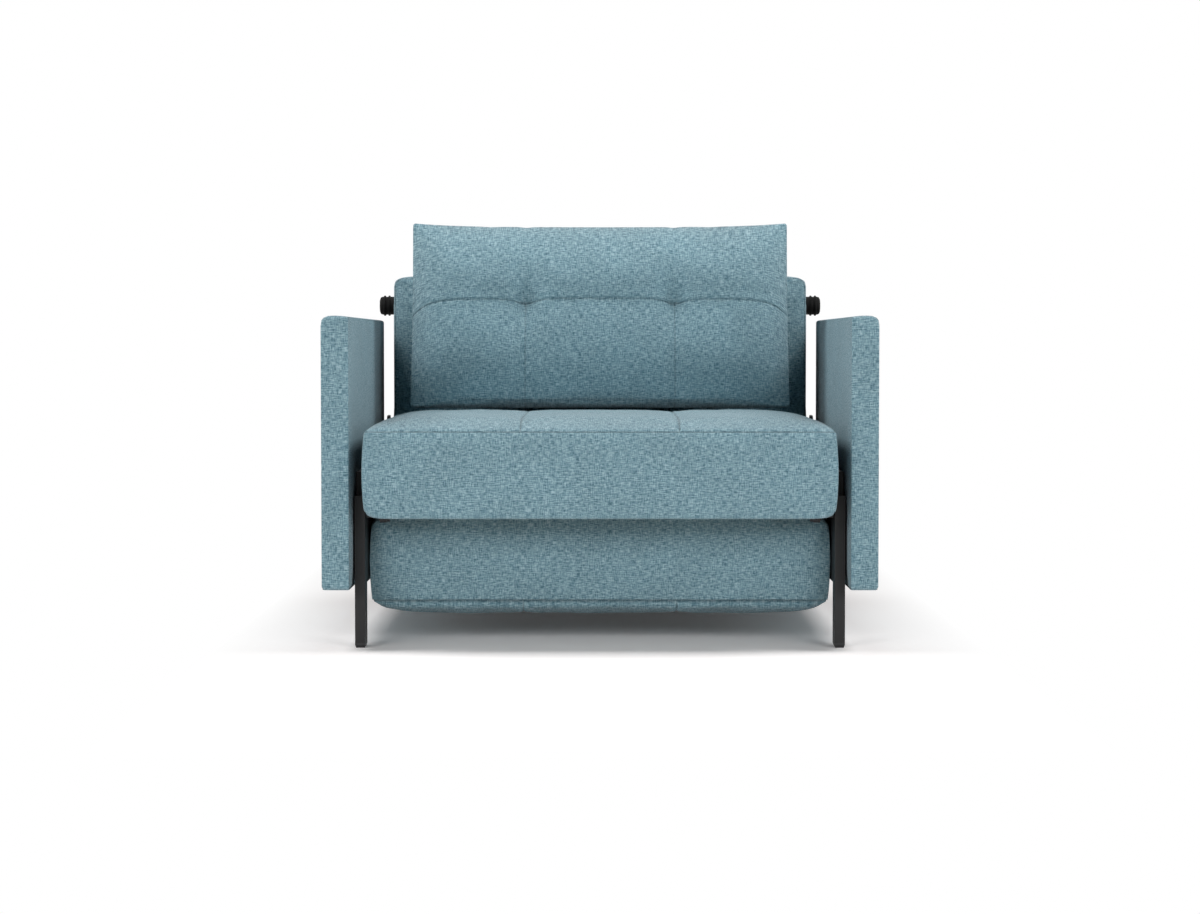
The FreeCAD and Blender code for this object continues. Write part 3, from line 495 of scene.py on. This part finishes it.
# A section is a box lattice whose edges are rounded and whose points then move. The sides swell as a
# sine between their edges. The top rises as the product of one climb from each side, one from the lip
# and one from the rear, less a bell at each seam. A sewn line is a narrow bell cut between low rolls
def mattress(length, thickness, crown, cross, endRound, corner, lipRise, seed):
    s = section
    half = s["halfWidth"]
    u = stations(-half, half, s["step"], s["sideRows"], [-s["panelSeam"], s["panelSeam"]])
    v = stations(0.0, length, s["step"], s["endRows"], [cross] if cross else [])
    v = np.unique(np.round(np.concatenate([v, s["lip"] + np.array(s["lipRows"])]), 6))
    w = stations(0.0, thickness, s["step"], s["sideRows"])
    flat, quads, threads = boxLattice(u, v, w)
    uu, vv, ww = flat.T
    p = flat.copy()
    # long edges: a tight round at the seams, a wider one under the lip
    for side in (-half, half):
        roundEdge(p, (0, 1), (side, 0.0), corner)
        roundEdge(p, (0, 1), (side, length), s["rearCorner"])
        roundEdge(p, (0, 2), (side, thickness), s["edge"])
        roundEdge(p, (0, 2), (side, 0.0), s["lowSide"])
    roundEdge(p, (1, 2), (0.0, thickness), s["edge"])
    roundEdge(p, (1, 2), (0.0, 0.0), s["lowLip"])
    roundEdge(p, (1, 2), (length, thickness), max(endRound, s["edge"]))
    roundEdge(p, (1, 2), (length, 0.0), s["lowRear"])
    share = ww / thickness
    fromSide, fromLip, fromEnd = half - np.abs(uu), vv, length - vv
    fromEdge = np.minimum(fromSide, np.minimum(fromLip, fromEnd))
    # the sides and the lip swell between their edges, and draw in at the seams
    hollow = 1 - np.sin(np.pi * np.clip(share, 0, 1)) ** s["swellPower"]
    p[:, 0] -= np.sign(uu) * ease(1 - fromSide / s["swellReach"]) * s["sideSwell"] * hollow
    p[:, 1] += ease(1 - fromLip / s["swellReach"]) * s["lipSwell"] * hollow
    p[:, 1] -= ease(1 - fromEnd / s["swellReach"]) * s["rearSwell"] * hollow
    # the crown rises quickly from the sides and slowly from the ends, and dips at each seam
    rise = climb(fromSide, s["crownFromSide"]) * climb(fromLip, lipRise)
    rise = rise * climb(np.maximum(fromEnd - endRound, 0), s["crownFromEnd"])
    offSeam = np.abs(np.abs(uu) - s["panelSeam"])
    offCross = np.abs(vv - cross) if cross else np.full_like(vv, 1.0)
    dips = np.maximum(hump(offSeam, s["dipWidth"]), hump(offCross, s["dipWidth"]))
    p[:, 2] += crown * rise * (1 - s["seamDip"] * dips) * share ** s["crownPower"]
    # the lip's lower corners are lifted, and behind the lip the underside leaves room for the frame
    lifted = np.exp(-fromSide / s["cornerReach"]) * (1 - share) ** 2 * (vv < s["lip"])
    p[:, 2] += s["cornerLift"] * lifted
    room = s["frameDepth"] * ease((vv - (s["lip"] - s["frameStep"])) / s["frameStep"])
    p[:, 2] += room * (1 - np.clip(share, 0, 1))
    # sewn lines: a narrow groove between two low rolls, with short gathers that fade away from it
    onTop = (share > 0.999).astype(float)
    offAny = np.minimum(offSeam, offCross)
    groove = hump(offAny, s["seamWidth"]) * onTop
    roll = hump(offAny - s["rollAt"], s["rollWidth"]) * onTop
    gathers = np.sin((uu + vv) * s["gathers"] + 3 * np.sin((uu - vv) * s["gatherSway"] + seed))
    gathers = gathers * hump(offAny, s["gatherReach"]) * (1 - groove) * onTop
    p[:, 2] += s["rollHeight"] * roll - s["seamDepth"] * groove + s["gatherHeight"] * gathers
    edgeSeam = onTop * ((fromEdge < touching) & ((fromEnd > touching) | (endRound == 0)))
    wander = 1 + s["wander"] * ripple(uu, vv, s["wanderLength"], seed)
    inwardX = -np.sign(uu) * (fromSide < touching)
    inwardY = 1.0 * (fromLip < touching) - (fromEnd < touching)
    inward = np.stack([inwardX, inwardY, -np.ones_like(uu)], -1)
    p += (edgeSeam * wander)[:, None] * inward * s["edgeSeamDepth"]
    # painted shade: the grooves and the edge seams darken the cloth's colour, as their shade would
    crease = np.clip(s["seamShade"] * groove + edgeSeam, 0, 1)
    # soft unevenness over the faces
    waves = [ripple(uu, vv, size, seed + k) * height
             for k, (size, height) in enumerate((s["broadWaves"], s["smallWaves"]))]
    p[:, 2] += onTop * ease(fromEdge / s["wavesFrom"]) * (waves[0] + waves[1])
    onLip = (fromLip < touching) * ease(share / s["lipWavesFrom"]) * ease((1 - share) / s["lipWavesFrom"])
    size, height = s["lipWaves"]
    p[:, 1] += onLip * (s["lipFullness"] + ripple(uu, ww, size, seed + 2) * height)
    pinned = (groove > 0.5) | (edgeSeam > 0) | ((onTop < 0.5) & (fromLip > touching))
    return p, quads, threads, crease, pinned


sections = {
    "seat": {"length": 0.750, "thickness": 0.167, "crown": 0.025, "cross": 0.470,
             "endRound": 0.025, "corner": 0.0055, "lipRise": 0.036},
    "foot": {"length": 0.750, "thickness": 0.167, "crown": 0.025, "cross": 0.470,
             "endRound": 0.0, "corner": 0.0055, "lipRise": 0.011},
    "back": {"length": 0.461, "thickness": 0.150, "crown": 0.009, "cross": None,
             "endRound": 0.050, "corner": 0.021, "lipRise": 0.040},
}
sectionFilling = {"pressure": 0.8, "cap": 0.003, "overCover": 0.004, "fill": 0.85}


# From a section's own terms to the frame: the foot section lies face down, the back stands up
def inPlace(name, p):
    low, high = [np.array(c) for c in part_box(name + "_cover")]
    if name == "seat":
        return np.stack([p[:, 0], low[1] + p[:, 1], low[2] + p[:, 2]], -1)
    if name == "foot":
        return np.stack([p[:, 0], low[1] + p[:, 1], high[2] - p[:, 2]], -1)
    return np.stack([p[:, 0], high[1] - p[:, 2], high[2] - p[:, 1]], -1)


for number, (name, sizes) in enumerate(sections.items()):
    p, quads, threads, crease, pinned = mattress(**sizes, seed=number * 1.7)
    if name != "seat":
        quads, threads = quads[:, ::-1], threads[:, ::-1]
    piece = meshPiece(name + "_upholstery", inPlace(name, p), quads, threads, crease, name,
                      [name + "_cover", name + "_foam"])
    low, high = [np.array(c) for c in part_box(name + "_cover")]
    over = np.array([0.0, 0.0, 0.0 if name == "back" else sectionFilling["overCover"]])
    fillOut(piece, pinned, sectionFilling["pressure"], sectionFilling["cap"], low - over, high + over)
print("mattress sections made")


# The loose cushion: two swelling panels that meet in a thin rim, drawn in along a sewn channel
cushion = {
    "halfWidth": 0.400, "height": 0.391, "bottom": 0.450, "halfDepth": 0.098, "middle": 0.160,
    "seam": 0.157, "rim": 0.007, "channelRow": 0.234, "topDip": 0.0085,
    "channelNick": (0.010, 0.030), "channelArch": (0.002, 0.2), "channelFall": (0.040, 0.034),
    "sideStart": 0.07, "sideReach": 0.046, "endReach": 0.125, "endPowers": (2.1, 0.56), "topShare": 0.92,
    "lowSeam": (0.002, 0.0155, 0.392, 0.13, 0.8), "lowTurn": (0.08, 0.46), "lowFace": (0.50, 0.01, 0.9),
    "lowZone": 0.135, "valley": (0.045, 0.035), "tuft": (0.27, 0.030), "tuftReach": (0.095, 0.030),
    "belowDip": 0.03, "aboveDip": (0.130, 0.006, 0.022, 0.09),
    "lineWidth": 0.0016, "lineDepth": 0.0025, "uprightWidth": 0.0015, "uprightDepth": 0.0016,
    "footWidth": 0.0020, "footDepth": 0.0020, "rollAt": 0.006, "rollWidth": 0.0035, "rollHeight": 0.0019,
    "gathers": 300, "gatherSway": 41, "gatherAt": 0.004, "gatherReach": 0.012, "gatherHeight": 0.0005,
    "broadWaves": (0.16, 0.0018, 0.8), "smallWaves": (0.052, 0.0005, 1.9), "wavesFrom": 0.05,
    "lowCorner": (0.008, 1.008), "topCorner": (0.006, 0.99), "lineShade": 0.28, "seamShade": 0.45,
    "pressure": 1.2, "cap": 0.010, "over": (0.006, 0.004, 0.004), "fill": 0.7,
}


# A panel's depth is half the cushion's times how full it is there: a climb from each side times a
# rounded rise from the nearer of its two ends, less a bell along the channel and a steeper one at
# each tuft. The rows of the lattice follow the channel, so that its line runs along one of them
def cushionForm():
    c = cushion
    tall, row = c["height"], c["channelRow"]
    u = stations(-c["halfWidth"], c["halfWidth"], 0.009, 0.010, [-c["seam"], c["seam"]])
    q = stations(0.0, tall, 0.0085, 0.010, [row])
    q = np.unique(np.round(np.concatenate([q[q > 0.027], np.linspace(0.0, 0.026, 18)]), 6))
    v = c["rim"] / 2 * np.array([-1.0, -0.5, 0.0, 0.5, 1.0])
    flat, quads, threads = boxLattice(u, v, q)
    uu, vv, qq = flat.T
    vv = vv / (c["rim"] / 2)
    x = np.abs(uu)
    fromSeam = x - c["seam"]
    # the channel's height: a shallow arch from seam to seam, falling to the sides
    (nick, nickWidth), (arch, archWidth) = c["channelNick"], c["channelArch"]
    fall, fallReach = c["channelFall"]
    channel = row - nick * hump(fromSeam, nickWidth) - arch * ease(x / archWidth)
    channel = channel - fall * np.exp((x - c["halfWidth"]) / fallReach)
    ww = np.where(qq < row, qq * channel / row, tall - (tall - qq) * (tall - channel) / (tall - row))
    fromSide, fromLow, fromHigh = c["halfWidth"] - x, ww, tall - ww
    sidewise = c["sideStart"] + (1 - c["sideStart"]) * climb(fromSide, c["sideReach"])
    near = np.clip(np.minimum(fromLow, fromHigh * c["topShare"]) / c["endReach"], 0, 1)
    first, second = c["endPowers"]
    swell = sidewise * (1 - (1 - near) ** first) ** second
    # below the low seam each panel turns in quickly, so its lower edge overhangs the seat
    base, extra, outer, width, power = c["lowSeam"]
    lowSeam = base + extra * ease((outer - x) / width) ** power
    start, turn = c["lowTurn"]
    share, raised, bend = c["lowFace"]
    full = share + share * np.sin(np.pi / 2 * np.clip((ww - raised) / c["endReach"], 0, 1)) ** bend
    lowShape = np.where(ww < lowSeam, start + turn * np.clip(ww / lowSeam, 0, 1), full)
    swell = np.where(ww < c["lowZone"], sidewise * lowShape, swell)
    # the valley along the channel, the tufts, and the dips that run from them with the upright seams
    offChannel = ww - channel
    valley = c["valley"][0] * hump(offChannel, c["valley"][1])
    reach = np.where(offChannel > 0, *c["tuftReach"])
    tuft = c["tuft"][0] * np.exp(-np.hypot(fromSeam / c["tuft"][1], offChannel / reach))
    below = (offChannel < 0) * c["belowDip"] * hump(fromSeam, 0.03) * ease(-offChannel / 0.03)
    dip, inset, width, fade = c["aboveDip"]
    above = (offChannel >= 0) * dip * hump(fromSeam + inset, width) * np.exp(-offChannel / fade)
    depth = np.maximum(c["halfDepth"] * swell * (1 - valley - tuft - below - above), c["rim"] / 2)
    # sewn lines: the channel, the upright seams below it, and the seam that runs low on each face
    face = (np.abs(vv) > 0.99).astype(float)
    line = hump(offChannel, c["lineWidth"])
    upright = (offChannel < 0) * hump(fromSeam, c["uprightWidth"])
    foot = hump(ww - lowSeam, c["footWidth"])
    roll = hump(offChannel - c["rollAt"], c["rollWidth"])
    gathers = np.sin(uu * c["gathers"] + 3 * np.sin(uu * c["gatherSway"]))
    gathers = gathers * hump(offChannel - c["gatherAt"], c["gatherReach"]) * (1 - line)
    sewn = c["rollHeight"] * roll - c["lineDepth"] * line - c["uprightDepth"] * upright
    depth = depth + face * (sewn - c["footDepth"] * foot + c["gatherHeight"] * gathers)
    soft = sum(ripple(uu, ww, size, seed) * height for size, height, seed in (c["broadWaves"], c["smallWaves"]))
    inside = ease(np.minimum(fromSide, np.minimum(fromLow, fromHigh)) / c["wavesFrom"])
    y = vv * depth + face * soft * np.sign(vv) * inside
    # outline: the top edge dips to its middle, with a nick at each seam, and the sides draw in upwards
    rise = ww / tall
    topNicks = 0.0018 * hump(fromSeam, 0.010) + 0.001 * hump(x - 0.235, 0.02)
    z = ww - (c["topDip"] * climb(fromSide, 0.09) + topNicks) * rise ** 2
    p = np.stack([uu * (1.008 - 0.018 * rise - 0.005 * np.sin(np.pi * rise)), y, z], -1)
    for side in (-1, 1):
        for end, (radius, draw) in ((0.0, c["lowCorner"]), (tall, c["topCorner"])):
            roundEdge(p, (0, 2), (side * c["halfWidth"] * draw, end), radius)
    p[:, 1] += c["middle"]
    p[:, 2] += c["bottom"]
    edge = (fromSide < touching) | (fromLow < touching) | (fromHigh < touching)
    # painted shade: the channel, the upright seams and the low seams darken the cloth's colour, as their shade
    # would
    crease = face * np.clip(c["lineShade"] * line + c["seamShade"] * upright + c["seamShade"] * foot, 0, 1)
    return p, quads, threads, crease, edge | (line > 0.5) | (upright > 0.5)


p, quads, threads, crease, pinned = cushionForm()
piece = meshPiece("cushion_upholstery", p, quads, threads, crease, "cushion",
                  ["cushion_cover", "cushion_filling"])
low, high = [np.array(c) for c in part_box("cushion_cover")]
over = np.array(cushion["over"])
fillOut(piece, pinned, cushion["pressure"], cushion["cap"], low - over * (1, 1, 0), high + over)
print("cushion made")


# The arms: a padded board, with a side panel on each face and a strip round its edge
arm = {
    "acrossStep": 0.009, "acrossRows": 0.007, "step": 0.012, "rows": 0.008,
    "upright": 0.0055, "frontTop": 0.008, "rearTop": 0.014, "lowEnds": 0.010,
    "outerTop": 0.0155, "innerTop": 0.006, "outerLow": 0.008, "innerLow": 0.006,
    "crown": 0.003, "sink": 0.0022, "sinkReach": 0.05, "fullness": 0.0006, "waves": (0.23, 0.4),
    "seamWidth": 0.0016, "seamDepth": 0.0014, "fill": 0.95,
}


# A box lattice with rounded edges. The top falls as the square of the distance from its middle, and
# a side panel sinks towards its seams as an ease from the nearest edge
def armForm(low, high, inner):
    a = arm
    u = stations(low[0], high[0], a["acrossStep"], a["acrossRows"])
    v = stations(low[1], high[1], a["step"], a["rows"])
    w = stations(low[2], high[2], a["step"], a["rows"])
    flat, quads, threads = boxLattice(u, v, w)
    uu, vv, ww = flat.T
    p = flat.copy()
    outer = low[0] if inner > low[0] else high[0]
    for y, top in ((low[1], a["frontTop"]), (high[1], a["rearTop"])):
        for x in (inner, outer):
            roundEdge(p, (0, 1), (x, y), a["upright"])
        roundEdge(p, (1, 2), (y, high[2]), top)
        roundEdge(p, (1, 2), (y, low[2]), a["lowEnds"])
    roundEdge(p, (0, 2), (outer, high[2]), a["outerTop"])
    roundEdge(p, (0, 2), (inner, high[2]), a["innerTop"])
    roundEdge(p, (0, 2), (outer, low[2]), a["outerLow"])
    roundEdge(p, (0, 2), (inner, low[2]), a["innerLow"])
    across = (uu - low[0]) / (high[0] - low[0])
    fromEdge = np.minimum(np.minimum(vv - low[1], high[1] - vv), np.minimum(ww - low[2], high[2] - ww))
    # the top crowns across the arm, and the side panels swell a little from their seams
    p[:, 2] -= ((high[2] - ww) < touching) * a["crown"] * (2 * across - 1) ** 2
    onSide = (across < touching) | (across > 1 - touching)
    inward = np.where(across < 0.5, 1.0, -1.0) * onSide
    size, seed = a["waves"]
    sunk = a["sink"] * (1 - ease(fromEdge / a["sinkReach"])) + a["fullness"] * (1 + ripple(vv, ww, size, seed))
    p[:, 0] += inward * sunk
    seam = onSide * hump(fromEdge, a["seamWidth"])
    p[:, 0] += seam * inward * a["seamDepth"]
    # the seam mask shapes the groove and also goes to the cloth as painted seam shade
    return p, quads, threads, seam


for side in ("left", "right"):
    cover = "arm_cover_" + side
    low, high = [np.array(c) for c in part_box(cover)]
    form = armForm(low, high, low[0] if low[0] > 0 else high[0])
    piece = meshPiece("arm_upholstery_" + side, *form, "base", [cover])
print("arms made")


# Floor: it keeps the object's shadow, and turns white to the camera away from the object
floorLook = {
    "corners": [(-30, -12, 0), (30, -12, 0), (30, 60, 0), (-30, 60, 0)],
    "lit": (0.78, 0.78, 0.78, 1.0),  # as it throws light back at the object
    "near": (1.14, 1.10, 1.09, 1.0),  # as it shows near the object
    "shadowLift": 0.045,  # how much white even the deepest shadow has
    "aside": (0.53, 0.74),  # metres from the middle, from near to plain white
    "ahead": (0.9, 1.7),
}
floorMesh = bpy.data.meshes.new("studio_floor")
floorMesh.from_pydata(floorLook["corners"], [], [(0, 1, 2, 3)])
floor = bpy.data.objects.new("studio_floor", floorMesh)
scene.collection.objects.link(floor)
paper = Finish("studio_paper")
paper.tree.nodes.remove(paper.shader)
aside = paper.node("SeparateXYZ", Vector=paper.place())
far = paper.maths("MAXIMUM", paper.spread(paper.maths("ABSOLUTE", aside), *floorLook["aside"]),
                  paper.spread(paper.maths("ABSOLUTE", aside.output(1)), *floorLook["ahead"]))
white = paper.node("Emission", Color=(1.0, 1.0, 1.0, 1.0))
near = paper.node("BsdfDiffuse", Color=floorLook["near"])
near = paper.node("MixShader", i0=floorLook["shadowLift"], i1=near, i2=white)
shown = paper.node("MixShader", i0=far, i1=near, i2=white)
lit = paper.node("BsdfDiffuse", Color=floorLook["lit"])
surface = paper.node("MixShader", i0=paper.seen(), i1=lit, i2=shown)
paper.feed(paper.tree.nodes["Material Output"].inputs["Surface"], surface)
floorMesh.materials.append(paper.material)

skyLook = {"light": 0.04, "seen": 1.0}
world = bpy.data.worlds.new("studio")
scene.world = world
world.use_nodes = True
sky = Nodes(world.node_tree)
seen = sky.maths("MAXIMUM", sky.seen(), sky.node("LightPath", output=6))
background = world.node_tree.nodes["Background"]
background.inputs["Color"].default_value = (1.0, 1.0, 1.0, 1.0)
sky.feed(background.inputs["Strength"], sky.spread(seen, 0.0, 1.0, skyLook["light"], skyLook["seen"]))

# Softboxes in pairs, one on each side, so that the cushion and the arms shade the gaps behind them
lamps = {
    "over": {"at": (2.0, -0.4, 2.8), "size": 1.2, "power": 56.0},
    "front": {"at": (1.8, -3.6, 1.4), "size": 1.2, "power": 34.5},
    "low": {"at": (2.6, -2.8, 0.8), "size": 1.0, "power": 13.0},
}
lampAim = Vector((0.0, -0.1, 0.3))
for name, lamp in lamps.items():
    for side, turn in (("left", -1), ("right", 1)):
        light = bpy.data.lights.new(name + "_" + side, "AREA")
        light.size = lamp["size"]
        light.energy = lamp["power"]
        holder = bpy.data.objects.new(light.name, light)
        holder.location = (turn * lamp["at"][0], *lamp["at"][1:])
        holder.rotation_euler = (lampAim - holder.location).to_track_quat("-Z", "Y").to_euler()
        holder.visible_camera = False
        scene.collection.objects.link(holder)

view = {"at": (0.0, -5.49236, 0.58313), "tilt": 2.41189, "sensor": 36.0, "lens": 79.739, "end": 100.0}
camera = bpy.data.objects.new("camera", bpy.data.cameras.new("camera"))
scene.collection.objects.link(camera)
camera.location = view["at"]
camera.rotation_euler = (math.radians(90 - view["tilt"]), 0.0, 0.0)
camera.data.sensor_width = view["sensor"]
camera.data.lens = view["lens"]
camera.data.clip_end = view["end"]
scene.camera = camera
scene.view_settings.view_transform = "Standard"
print("stage set")
